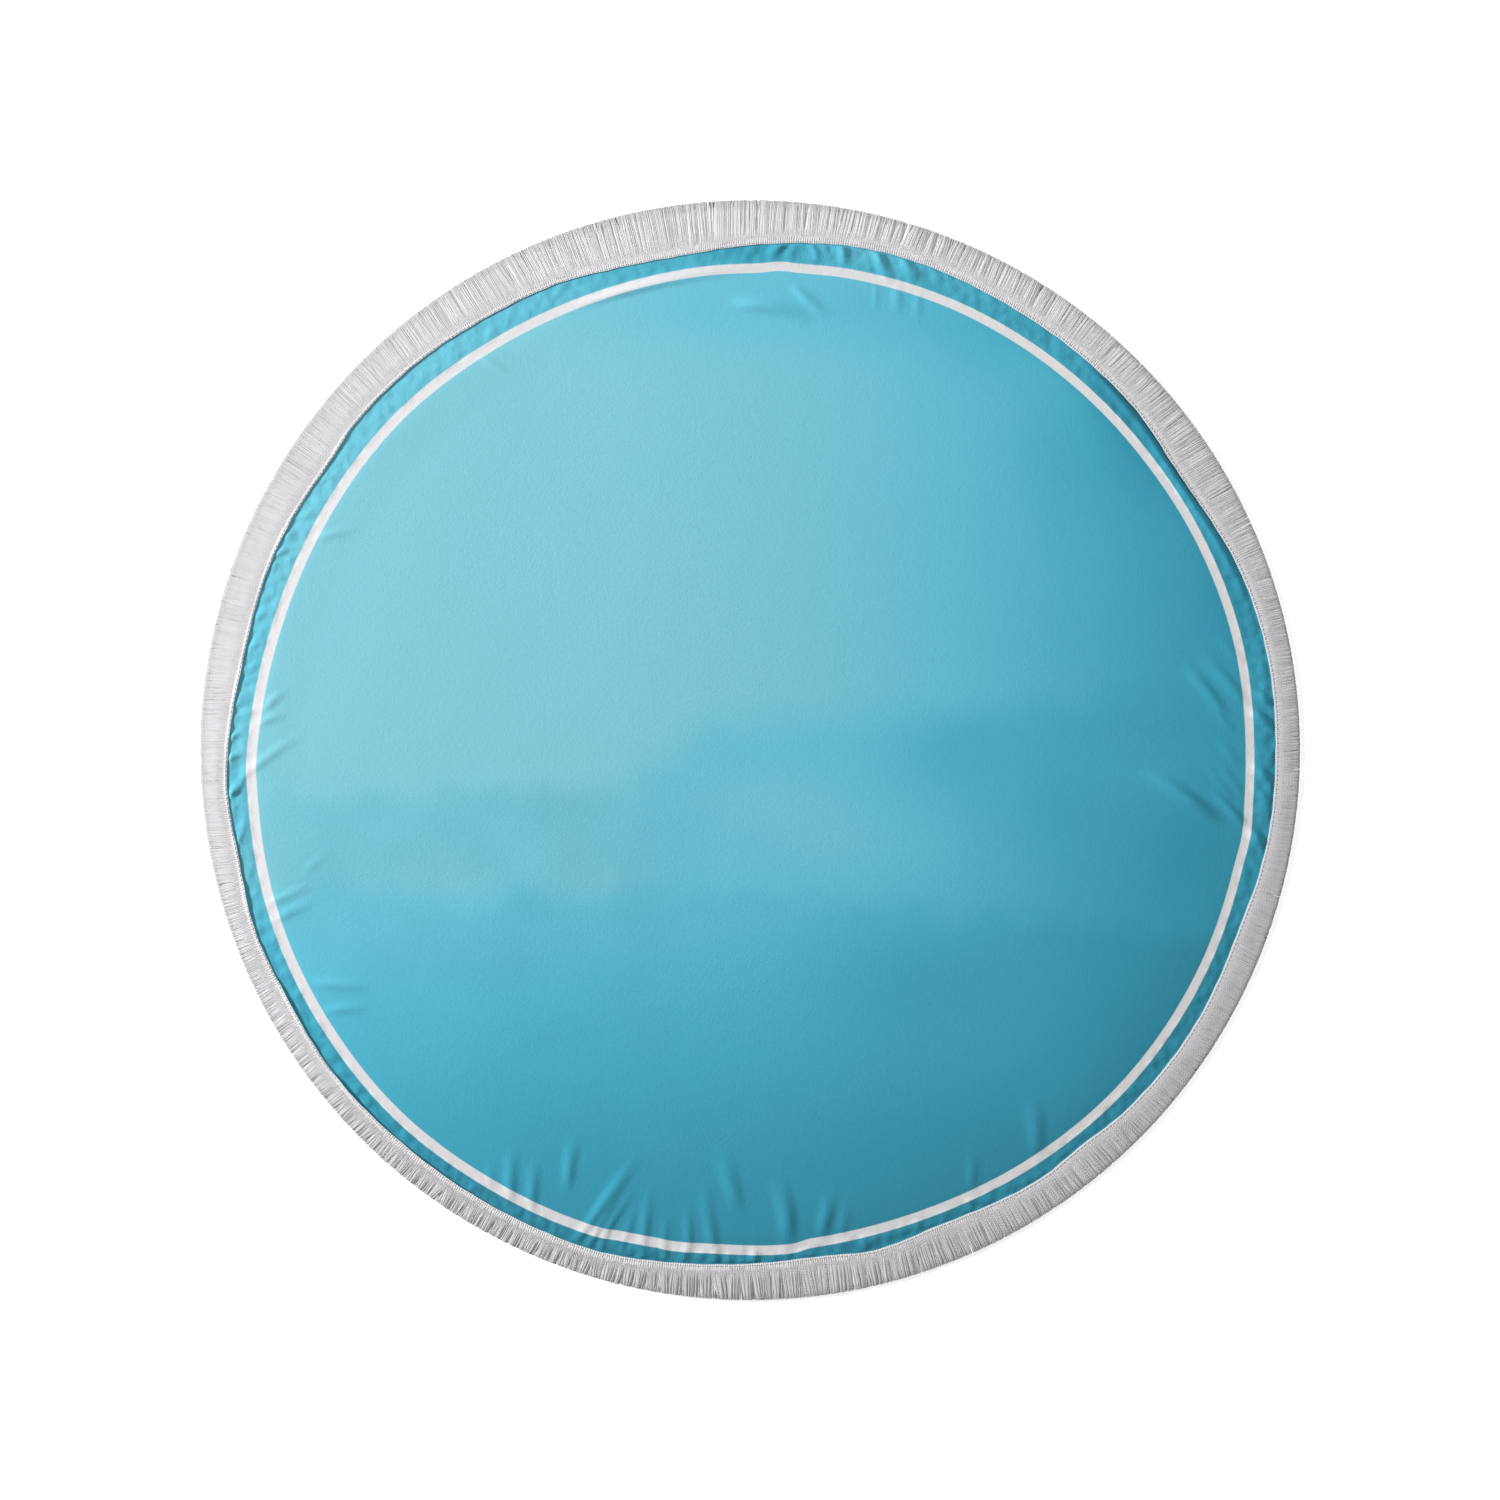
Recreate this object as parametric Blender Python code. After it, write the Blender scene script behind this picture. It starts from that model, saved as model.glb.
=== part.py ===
"""Round beach towel: one round cloth with a gathered rim, edged with a cotton fringe.

It lies spread out on a level surface at z = 0, seen from above with +Y away from the viewer.
The panel is one sheet with its puckers raised in it. The fringe is a narrow heading tape that lies
on the panel's margin, with locks of thread that drop off its outer edge and rest on the surface.
"""

import math
from bisect import bisect_right
from collections import namedtuple

import bmesh
import bpy

# Driving dimensions, in metres
TOWEL_RADIUS = 0.750        # centre to the fringe's tips
CLOTH_THICKNESS = 0.002
HEM_THICKNESS = 0.003       # the turned edge is thicker than the single cloth
HEM_SHOWS = 0.003           # full thickness of the hem that shows inside the tape
HEM_RAMP = 0.003            # the step down from the hem to the single cloth
HEM_UNDER_TAPE = 0.011      # how far the panel runs under the tape
TAPE_WIDTH = 0.012
TAPE_THICKNESS = 0.0015
LAYER_GAP = 0.0003          # between the panel and the tape that lies on it
FLAT_RADIUS = 0.480         # inside this the cloth lies quite flat

LOCK_COUNT = 288
LOCK_THICKNESS = 0.0018     # where it comes to rest
LOCK_TIP_THICKNESS = 0.0012
LOCK_DROP = 0.010           # run over which a lock comes down off the panel's edge
LOCK_SHARE = 0.79           # share of the pitch that a lock fills, the rest is gap
LOCK_SHARE_SPREAD = 0.05
LOCK_TIP_TAPER = 0.86
LOCK_TIP_SPREAD = 0.0012    # how uneven the cut ends are
LOCK_LEAN = 0.10            # sideways for each metre outwards, at most
LOCK_STRAY = 0.015          # and how far a single lock strays from its neighbours' lean

FINE_TURN = 0.6             # degrees between the panel's columns where it puckers
COARSE_TURN = 2.4           # and where it lies flat
# The panel's rings, by their distance in from the tape's edge
PANEL_ROWS = (0.172, 0.128, 0.095, 0.069, 0.048, 0.031, 0.017, 0.006)
SHARP_TURN = 50             # degrees: edges that turn more than this are shaded sharp

# How wide the whole fringe shows, from the tape's inner edge to the tips, round the towel.
# The cloth lies a little off the fringe's centre and its edge wanders, so this isn't constant.
FringeWidth = namedtuple("FringeWidth", "angle_deg width_mm")
FRINGE_WIDTHS = [FringeWidth(*row) for row in (
    (0, 33.6), (10, 33.2), (20, 39.1), (32, 55.0), (42, 48.9), (58, 49.2), (76, 48.2), (90, 62.2),
    (98, 70.1), (106, 68.6), (122, 59.7), (141, 53.0), (157, 49.1), (170, 48.5), (184, 35.7),
    (192, 37.9), (200, 32.1), (208, 34.6), (218, 31.5), (230, 35.0), (253, 36.1), (262, 44.0),
    (278, 53.2), (284, 47.4), (292, 52.8), (304, 44.6), (316, 40.4), (328, 37.2), (340, 40.4),
    (352, 33.7),
)]

# The puckers, each a soft ridge between two ends given in polar form
Pucker = namedtuple("Pucker", "outer_deg outer_mm inner_deg inner_mm half_width_mm height_mm")
PUCKERS = [Pucker(*row) for row in (
    # right edge
    (6.4, 664, 10.2, 618, 12, 3.2),
    (1.6, 704, 3.2, 688, 7, 2.4),
    (355.9, 706, 357.3, 688, 7, 2.4),
    (353.2, 668, 359.6, 552, 13, 3.0),
    (350.4, 662, 355.6, 566, 13, 3.4),
    # top
    (84.6, 682, 85.9, 664, 8, 2.8),
    (81.0, 690, 79.6, 668, 7, 2.6),
    (77.6, 694, 76.0, 668, 10, 3.0),
    (73.0, 693, 71.4, 668, 9, 3.2),
    (73.2, 655, 72.2, 618, 10, 2.4),
    (70.2, 656, 69.0, 612, 10, 2.8),
    (91.0, 606, 80.5, 598, 12, 3.0),
    (117.0, 646, 94.0, 640, 11, 3.4),
    # left
    (156.6, 692, 153.6, 672, 8, 2.4),
    (178.8, 704, 177.6, 680, 7, 2.6),
    (184.2, 708, 182.2, 686, 8, 3.4),
    (181.4, 674, 178.9, 622, 11, 3.6),
    (177.4, 666, 175.6, 606, 10, 2.6),
    (175.0, 658, 172.2, 628, 9, 2.4),
    (197.8, 676, 197.4, 622, 9, 2.8),
    (201.2, 676, 200.0, 616, 9, 2.4),
    (208.0, 678, 212.6, 610, 11, 2.8),
    # bottom
    (240.9, 674, 239.2, 634, 9, 2.4),
    (243.8, 676, 242.1, 634, 10, 3.0),
    (247.4, 622, 244.8, 578, 12, 2.6),
    (250.6, 678, 254.4, 574, 13, 4.4),
    (257.8, 676, 256.4, 608, 10, 2.8),
    (266.0, 670, 264.4, 602, 10, 2.6),
    (267.9, 620, 265.6, 548, 12, 2.6),
    (275.2, 666, 274.4, 600, 13, 3.2),
    (278.2, 666, 279.6, 618, 11, 3.2),
    (304.6, 670, 308.0, 616, 11, 2.0),
)]

MATERIALS = {
    # name: (linear base colour, roughness, metallic)
    "turquoise_cloth": ((0.095, 0.465, 0.590), 0.88, 0.0),
    "fringe_cotton": ((0.700, 0.685, 0.700), 0.92, 0.0),
}


def round_the_towel(angle):
    """The fringe's width at this angle in degrees, on a smooth closed curve through the table."""
    count = len(FRINGE_WIDTHS)
    angle %= 360
    last = bisect_right([row.angle_deg for row in FRINGE_WIDTHS], angle) - 1

    def knot(index):
        row = FRINGE_WIDTHS[index % count]
        return row.angle_deg + 360 * (index // count), row.width_mm / 1000

    (xa, ya), (xb, yb), (xc, yc), (xd, yd) = (knot(last + step) for step in (-1, 0, 1, 2))
    span = xc - xb
    start_slope = span * (yc - ya) / (xc - xa)
    end_slope = span * (yd - yb) / (xd - xb)
    t = (angle - xb) / span
    return (
        yb * (2 * t**3 - 3 * t**2 + 1)
        + start_slope * (t**3 - 2 * t**2 + t)
        + yc * (3 * t**2 - 2 * t**3)
        + end_slope * (t**3 - t**2)
    )


def tape_edge(angle):
    """Radius of the tape's inner edge."""
    return TOWEL_RADIUS - round_the_towel(angle)


def bell(share):
    """1 at the middle, falling smoothly to exactly 0 at a share of 1."""
    return 0.5 + 0.5 * math.cos(math.pi * min(1.0, abs(share)))


def pucker_height(pucker, angle, radius):
    """Height of one ridge at a place, measured along and across its own line."""
    middle = (pucker.outer_mm + pucker.inner_mm) / 2000
    turn = math.radians((angle - pucker.outer_deg + 180) % 360 - 180)
    whole_turn = math.radians((pucker.inner_deg - pucker.outer_deg + 180) % 360 - 180)
    if abs(turn) > abs(whole_turn) + 0.1:
        return 0.0
    line = (middle * whole_turn, (pucker.inner_mm - pucker.outer_mm) / 1000)
    place = (middle * turn, radius - pucker.outer_mm / 1000)
    length = math.hypot(*line)
    along = (place[0] * line[0] + place[1] * line[1]) / length
    across = (place[0] * line[1] - place[1] * line[0]) / length
    # the crest stands highest a third of the way in, and both ends run out softly
    crest = length / 3
    reach = crest + 0.004 if along < crest else length - crest
    ends = bell((along - crest) / reach)
    return pucker.height_mm / 1000 * ends * bell(across * 1000 / pucker.half_width_mm)


def lift(angle, radius):
    """How far the cloth stands off the surface: all puckers together, none under the tape."""
    inside = tape_edge(angle) - HEM_SHOWS - radius
    if inside <= 0:
        return 0.0
    raised = sum(pucker_height(pucker, angle, radius) for pucker in PUCKERS)
    return raised * (1 - bell(inside / 0.008))


def thickness(angle, radius):
    """The single cloth's thickness, more at the hem."""
    inside = tape_edge(angle) - radius
    share = (HEM_SHOWS + HEM_RAMP - inside) / HEM_RAMP
    return CLOTH_THICKNESS + (HEM_THICKNESS - CLOTH_THICKNESS) * min(1.0, max(0.0, share))


def place_of(vert):
    """A vertex's angle in degrees and its distance from the centre."""
    return math.degrees(math.atan2(vert.co.y, vert.co.x)), math.hypot(vert.co.x, vert.co.y)


def set_polar(vert, angle, radius, height):
    turn = math.radians(angle)
    vert.co = (radius * math.cos(turn), radius * math.sin(turn), height)


def grow_ring(bm, edges):
    """Extrudes a closed ring of edges and gives the new ring's vertices and edges."""
    made = bmesh.ops.extrude_edge_only(bm, edges=edges)["geom"]
    verts = [item for item in made if isinstance(item, bmesh.types.BMVert)]
    fresh = set(verts)
    ring = [
        item for item in made
        if isinstance(item, bmesh.types.BMEdge) and fresh.issuperset(item.verts)
    ]
    return verts, ring


def close_sheet(bm):
    """Extrudes a copy of the whole open sheet, walls included, and gives the copy's vertices."""
    made = bmesh.ops.extrude_face_region(bm, geom=bm.faces[:], use_keep_orig=True)["geom"]
    return [item for item in made if isinstance(item, bmesh.types.BMVert)]


def finished_object(bm, name, material, collection):
    """Turns the faces outwards, shades the piece smooth and puts it in the collection."""
    bmesh.ops.recalc_face_normals(bm, faces=bm.faces[:])
    mesh = bpy.data.meshes.new(name)
    bm.to_mesh(mesh)
    bm.free()
    mesh.shade_smooth()
    mesh.set_sharp_from_angle(angle=math.radians(SHARP_TURN))
    mesh.materials.append(material)
    piece = bpy.data.objects.new(name, mesh)
    collection.objects.link(piece)
    return piece


def new_material(name):
    colour, roughness, metallic = MATERIALS[name]
    material = bpy.data.materials.new(name)
    material.use_nodes = True
    shader = material.node_tree.nodes["Principled BSDF"]
    shader.inputs["Base Color"].default_value = (*colour, 1)
    shader.inputs["Roughness"].default_value = roughness
    shader.inputs["Metallic"].default_value = metallic
    return material


def is_puckered(angle):
    """Whether a column at this angle meets a pucker."""
    for pucker in PUCKERS:
        middle = (pucker.outer_mm + pucker.inner_mm) / 2
        margin = math.degrees(pucker.half_width_mm / middle) + FINE_TURN
        whole_turn = (pucker.inner_deg - pucker.outer_deg + 180) % 360 - 180
        from_middle = (angle - pucker.outer_deg - whole_turn / 2 + 180) % 360 - 180
        if abs(from_middle) <= abs(whole_turn) / 2 + margin:
            return True
    return False


def column_angles():
    """The panel's columns, close together only where the cloth puckers."""
    each = round(COARSE_TURN / FINE_TURN)
    steps = range(round(360 / FINE_TURN))
    return [
        step * FINE_TURN for step in steps if step % each == 0 or is_puckered(step * FINE_TURN)
    ]


def towel_panel(collection):
    """The round cloth: rings of faces grown outwards from a flat disc, then given a thickness."""
    columns = column_angles()
    bm = bmesh.new()
    bmesh.ops.create_circle(bm, cap_ends=True, segments=len(columns), radius=FLAT_RADIUS)
    for vert, angle in zip(bm.verts, columns):
        set_polar(vert, angle, FLAT_RADIUS, 0)
    edges = bm.edges[:]
    for inset in (*PANEL_ROWS, HEM_SHOWS, -HEM_UNDER_TAPE):
        verts, edges = grow_ring(bm, edges)
        for vert in verts:
            angle, _ = place_of(vert)
            set_polar(vert, angle, tape_edge(angle) - inset, 0)
    top = close_sheet(bm)
    for vert in top:
        vert.tag = True
    for vert in bm.verts:
        angle, radius = place_of(vert)
        vert.co.z = lift(angle, radius) + (thickness(angle, radius) if vert.tag else 0)
    return finished_object(bm, "towel_panel", new_material("turquoise_cloth"), collection)


def wobble(index, seed):
    """A fixed uneven value from -1 to 1 for each lock."""
    value = math.sin(index * 12.9898 + seed * 78.233) * 43758.5453
    return 2 * (value - math.floor(value)) - 1


def lock_share(index):
    return LOCK_SHARE + LOCK_SHARE_SPREAD * wobble(index, 1)


def tape_angle(index):
    """Angles round the tape: two for each lock, its two sides."""
    pitch = 360 / LOCK_COUNT
    lock, side = divmod(index, 2)
    return pitch * (lock + 0.5 + (side - 0.5) * lock_share(lock))


def lean(angle):
    """How far the locks lean sideways for each metre outwards: slow waves round the towel."""
    turn = math.radians(angle)
    waves = math.sin(7 * turn + 0.6) + 0.7 * math.sin(12 * turn + 2.1) + 0.5 * math.sin(19 * turn)
    return LOCK_LEAN * waves / 2.2


def shape_lock(bm, face):
    """Grows one lock from its face of the tape's outer wall: down to the surface, then along it."""
    pitch = 360 / LOCK_COUNT
    centre = face.calc_center_median()
    lock = int(math.degrees(math.atan2(centre.y, centre.x)) % 360 / pitch)
    angle = pitch * (lock + 0.5)
    turn = math.radians(angle)
    outwards = (math.cos(turn), math.sin(turn))
    sideways = (-math.sin(turn), math.cos(turn))
    root = tape_edge(angle) + TAPE_WIDTH
    tip = TOWEL_RADIUS + LOCK_TIP_SPREAD * (wobble(lock, 2) - 1) / 2
    root_half = math.radians(pitch * lock_share(lock)) * root / 2
    sections = (
        # distance from the centre, half width, thickness
        (root + LOCK_DROP, root_half, LOCK_THICKNESS),
        (tip, root_half * LOCK_TIP_TAPER, LOCK_TIP_THICKNESS),
    )
    for distance, half_width, depth in sections:
        face = bmesh.ops.extrude_discrete_faces(bm, faces=[face])["faces"][0]
        middle = face.calc_center_median()
        drift = (lean(angle) + LOCK_STRAY * wobble(lock, 3)) * (distance - root)
        for vert in face.verts:
            across = (vert.co.x - middle.x) * sideways[0] + (vert.co.y - middle.y) * sideways[1]
            shift = drift + math.copysign(half_width, across)
            height = depth if vert.co.z > middle.z else 0
            vert.co.x = distance * outwards[0] + shift * sideways[0]
            vert.co.y = distance * outwards[1] + shift * sideways[1]
            vert.co.z = height


def fringe(collection):
    """The heading tape, a flat ring, with a lock of thread grown from every other outer face."""
    bottom = HEM_THICKNESS + LAYER_GAP
    bm = bmesh.new()
    bmesh.ops.create_circle(bm, segments=2 * LOCK_COUNT, radius=TOWEL_RADIUS)
    bm.verts.ensure_lookup_table()
    for vert in bm.verts:
        angle = tape_angle(vert.index)
        set_polar(vert, angle, tape_edge(angle), bottom)
    outer, _ = grow_ring(bm, bm.edges[:])
    for vert in outer:
        angle, radius = place_of(vert)
        set_polar(vert, angle, radius + TAPE_WIDTH, bottom)
        vert.tag = True
    for vert in close_sheet(bm):
        vert.co.z += TAPE_THICKNESS
        angle, radius = place_of(vert)
        vert.tag = radius > tape_edge(angle) + TAPE_WIDTH / 2
    wall = [face for face in bm.faces if all(vert.tag for vert in face.verts)]
    pitch = 360 / LOCK_COUNT
    for face in wall:
        centre = face.calc_center_median()
        from_middle = (math.degrees(math.atan2(centre.y, centre.x)) % pitch) / pitch - 0.5
        if abs(from_middle) < 0.25:
            shape_lock(bm, face)
    return finished_object(bm, "fringe", new_material("fringe_cotton"), collection)


def main():
    for old in list(bpy.data.objects):
        bpy.data.objects.remove(old, do_unlink=True)
    collection = bpy.data.collections.new("round_beach_towel")
    bpy.context.scene.collection.children.link(collection)
    base = bpy.data.objects.new("round_beach_towel_base", None)
    collection.objects.link(base)
    for piece in (towel_panel(collection), fringe(collection)):
        piece.parent = base


main()
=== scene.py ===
import math
from collections import namedtuple

import bpy
import numpy as np
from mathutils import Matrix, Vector


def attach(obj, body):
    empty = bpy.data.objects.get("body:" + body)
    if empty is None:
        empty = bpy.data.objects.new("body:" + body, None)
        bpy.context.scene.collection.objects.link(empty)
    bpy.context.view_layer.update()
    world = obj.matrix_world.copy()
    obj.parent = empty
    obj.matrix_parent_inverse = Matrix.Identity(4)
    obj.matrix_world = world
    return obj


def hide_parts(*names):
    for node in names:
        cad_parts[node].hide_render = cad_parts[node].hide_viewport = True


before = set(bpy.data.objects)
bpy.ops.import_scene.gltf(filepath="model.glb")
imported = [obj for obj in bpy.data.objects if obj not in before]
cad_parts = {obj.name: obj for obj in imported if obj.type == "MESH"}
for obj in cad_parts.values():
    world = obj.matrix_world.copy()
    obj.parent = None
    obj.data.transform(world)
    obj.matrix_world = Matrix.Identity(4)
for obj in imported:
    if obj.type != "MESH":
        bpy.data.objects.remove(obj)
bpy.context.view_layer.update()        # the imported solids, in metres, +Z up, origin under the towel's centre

mm = 0.001

# What the cloth, the tape and the threads share. Lengths are in metres.
towel = {
    "radius": 0.750,  # centre to the fringe's tips
    "hemThickness": 0.003,
    "tapeWidth": 0.012,
    "tapeThickness": 0.0015,
    "tapeGap": 0.0003,  # between the hem and the tape that lies on it
    "seed": 31,  # all random draws come from one generator
}
tapeBottom = towel["hemThickness"] + towel["tapeGap"]
draw = np.random.default_rng(towel["seed"])

# How wide the whole fringe shows, from the tape's inner edge to the tips: degrees round, millimetres
fringeWidths = (
    (0, 33.6), (10, 33.2), (20, 39.1), (32, 55), (42, 48.9), (58, 49.2), (76, 48.2), (90, 62.2),
    (98, 70.1), (106, 68.6), (112, 62.9), (122, 59.7), (131, 54.1), (141, 52.4), (146, 55.7),
    (157, 49.1), (170, 48.5), (177, 41.8), (184, 35.7), (192, 37.9), (200, 32.1), (208, 34.6),
    (218, 31.5), (230, 35), (245, 36.2), (253, 36.1), (262, 44), (270, 49.8), (278, 53.2),
    (284, 47.4), (292, 52.8), (304, 44.6), (310, 46.8), (316, 40.4), (328, 37.2), (340, 40.4),
    (346, 36), (352, 33.7),
)

# Where the middle of the printed ring runs: degrees round, millimetres from the centre
ringMiddles = (
    (0, 681.5), (12, 681.4), (24, 677.4), (36, 672.6), (50, 669.8), (64, 667.6), (78, 663.2),
    (84, 660.1), (86.5, 660.6), (89, 657), (94, 655.9), (108, 652.5), (122, 653.8), (136, 659.8),
    (150, 662), (164, 666.1), (176, 674.6), (182, 680.6), (186, 681), (200, 687.1),
    (214, 689.5), (226, 691.7), (238, 689.5), (250, 689.4), (253, 688.6), (255, 685.6),
    (259, 683.6), (261, 684.4), (266, 681.6), (273, 682.4), (275.2, 681.6), (277, 677.5),
    (290, 676), (304, 680.6), (318, 685.1), (334, 685.9), (346, 684.4), (350.5, 686.4), (354, 683.6),
)

# How wide the ring is printed: degrees round, millimetres
ringWidths = (
    (0, 11.8), (40, 12.2), (85, 12.8), (120, 13.2), (160, 13.8), (200, 13.6), (235, 13.6), (255, 13.6),
    (275, 13), (310, 12.4), (340, 12),
)


# Smooth closed curve through (degrees, value) rows: in each span the cubic that meets its two rows
# with the slope of the line through their neighbours.
def closedCurve(table, degrees):
    at, value = np.array(table, float).T
    at = np.concatenate([at[-2:] - 360, at, at[:2] + 360])
    value = np.concatenate([value[-2:], value, value[:2]])
    slope = np.zeros_like(value)
    slope[1:-1] = (value[2:] - value[:-2]) / (at[2:] - at[:-2])
    turned = np.mod(degrees, 360)
    low = np.searchsorted(at, turned, side="right") - 1
    span = at[low + 1] - at[low]
    t = (turned - at[low]) / span
    return (
        value[low] * (2 * t**3 - 3 * t**2 + 1)
        + span * slope[low] * (t**3 - 2 * t**2 + t)
        + value[low + 1] * (3 * t**2 - 2 * t**3)
        + span * slope[low + 1] * (t**3 - t**2)
    )


# Radius of the tape's inner edge
def tapeEdge(degrees):
    return towel["radius"] - closedCurve(fringeWidths, degrees) * mm


# Radius of the middle of the printed ring
def ringMiddle(degrees):
    return closedCurve(ringMiddles, degrees) * mm


# 1 at the middle, falling along half a cosine to 0 at a share of 1
def bell(share):
    return 0.5 + 0.5 * np.cos(math.pi * np.clip(np.abs(share), 0, 1))


# 0 below low and 1 above high, with no corner at either
def smoothStep(low, high, value):
    t = np.clip((value - low) / (high - low), 0, 1)
    return t * t * (3 - 2 * t)


# Points at a radius, an angle and a height, as x, y and z
def polar(radius, degrees, height):
    turn = np.radians(degrees)
    return np.stack(np.broadcast_arrays(radius * np.cos(turn), radius * np.sin(turn), height), axis=-1)


# Row and column numbers of the four corners of each face of a grid. They run one past the last on a
# closed side, so that a pattern's coordinates don't jump back there.
def gridCorners(rows, columns):
    row, column = np.meshgrid(np.arange(rows), np.arange(columns), indexing="ij")
    return row.reshape(-1, 1) + [0, 1, 1, 0], column.reshape(-1, 1) + [0, 0, 1, 1]


# Makes an object of a mesh, a lamp or a camera and puts it into the scene
def addObject(name, data):
    made = bpy.data.objects.new(name, data)
    bpy.context.scene.collection.objects.link(made)
    return made


# Puts whole arrays into a mesh. faces is a list of arrays of vertex numbers, one array for each
# number of corners, and maps gives for each UV map the coordinates of all their corners in turn.
def makePiece(name, points, faces, maps, finish, node):
    mesh = bpy.data.meshes.new(name)
    corners = np.concatenate([face.reshape(-1) for face in faces]).astype(np.int32)
    counts = np.concatenate([np.full(len(face), face.shape[1]) for face in faces])
    starts = np.concatenate([[0], np.cumsum(counts)[:-1]]).astype(np.int32)
    mesh.vertices.add(len(points))
    mesh.vertices.foreach_set("co", points.astype(np.float32).reshape(-1))
    mesh.loops.add(len(corners))
    mesh.loops.foreach_set("vertex_index", corners)
    mesh.polygons.add(len(counts))
    mesh.polygons.foreach_set("loop_start", starts)
    mesh.update(calc_edges=True)
    for mapName, places in maps.items():
        layer = mesh.uv_layers.new(name=mapName)
        layer.data.foreach_set("uv", places.astype(np.float32).reshape(-1))
    mesh.validate()
    mesh.shade_smooth()
    mesh.materials.append(finish)
    piece = addObject(name, mesh)
    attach(piece, "root")
    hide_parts(node)
    print(name, "has", sum(len(face) * (face.shape[1] - 2) for face in faces), "triangles")
    return piece


# A method that adds one Math node, whose first or last term is the signal itself
def mathNode(operation, last=False):
    def method(self, *others):
        terms = (*others, self) if last else (self, *others)
        return self.finish.node("ShaderNodeMath", {"operation": operation}, dict(enumerate(terms)))
    return method


# One output of a node. Arithmetic on it adds Math nodes, so a pattern reads as a plain formula.
class Signal:
    def __init__(self, finish, socket):
        self.finish = finish
        self.socket = socket

    __add__ = __radd__ = mathNode("ADD")
    __sub__ = mathNode("SUBTRACT")
    __rsub__ = mathNode("SUBTRACT", last=True)
    __mul__ = __rmul__ = mathNode("MULTIPLY")
    __truediv__ = mathNode("DIVIDE")
    __rpow__ = mathNode("POWER", last=True)
    __abs__ = mathNode("ABSOLUTE")
    above = mathNode("MAXIMUM")
    below = mathNode("MINIMUM")
    sine = mathNode("SINE")


# A material under work: its node tree, its shader, and the one way to add a node
class Finish:
    def __init__(self, name, roughness, sheen=0.0):
        self.material = bpy.data.materials.new(name)
        self.material.use_nodes = True
        self.tree = self.material.node_tree
        self.shader = self.tree.nodes["Principled BSDF"]
        self.plug(self.shader, {"Roughness": roughness, "Specular IOR Level": 0.2})
        self.plug(self.shader, {"Sheen Weight": sheen, "Sheen Roughness": 0.5})

    # Settings go in first, then the inputs
    def node(self, kind, settings=None, inputs=None, output=0):
        made = self.tree.nodes.new(kind)
        for key, value in (settings or {}).items():
            if key == "stops":
                self.setStops(made.color_ramp, value)
            else:
                setattr(made, key, value)
        self.plug(made, inputs or {})
        return Signal(self, made.outputs[output])

    def setStops(self, ramp, stops):
        ramp.interpolation = "LINEAR"
        while len(ramp.elements) < len(stops):
            ramp.elements.new(0.5)
        for element, (place, colour) in zip(ramp.elements, stops):
            element.position = place
            element.color = (*colour, 1)

    # Sets or links the inputs of a node, by name or number
    def plug(self, node, inputs):
        for key, value in inputs.items():
            if isinstance(value, Signal):
                self.tree.links.new(value.socket, node.inputs[key])
            else:
                node.inputs[key].default_value = value

    # The first two coordinates of a place, each by itself
    def apart(self, where):
        return [self.node("ShaderNodeSeparateXYZ", None, {0: where}, axis) for axis in range(2)]

    # x and y on the towel, and the place that they come from
    def place(self):
        where = self.node("ShaderNodeTexCoord", output="Object")
        return self.apart(where), where

    def mapPlace(self, mapName):
        return self.apart(self.node("ShaderNodeUVMap", {"uv_map": mapName}))

    # Noise from -1 to 1 whose lumps are about size across, in metres
    def noise(self, where, size, detail=2.0):
        found = self.node(
            "ShaderNodeTexNoise", {"noise_dimensions": "3D"},
            {"Vector": where, "Scale": 1 / size, "Detail": detail, "Roughness": 0.5},
        )
        return found * 2 - 1

    # 0 below low and 1 above high, along a smooth step
    def step(self, value, low, high):
        return self.node(
            "ShaderNodeMapRange", {"interpolation_type": "SMOOTHSTEP"},
            {"Value": value, "From Min": low, "From Max": high, "To Min": 0, "To Max": 1.0},
        )

    # The first colour at a share of 0, the second at 1
    def mix(self, share, first, second):
        return self.node(
            "ShaderNodeMix", {"data_type": "RGBA"}, {0: share, 6: first, 7: second}, output=2,
        )

    def bump(self, height, distance):
        made = self.node("ShaderNodeBump", None, {"Height": height, "Distance": distance})
        self.plug(self.shader, {"Normal": made})

    def colour(self, value):
        self.plug(self.shader, {"Base Color": value})


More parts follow.
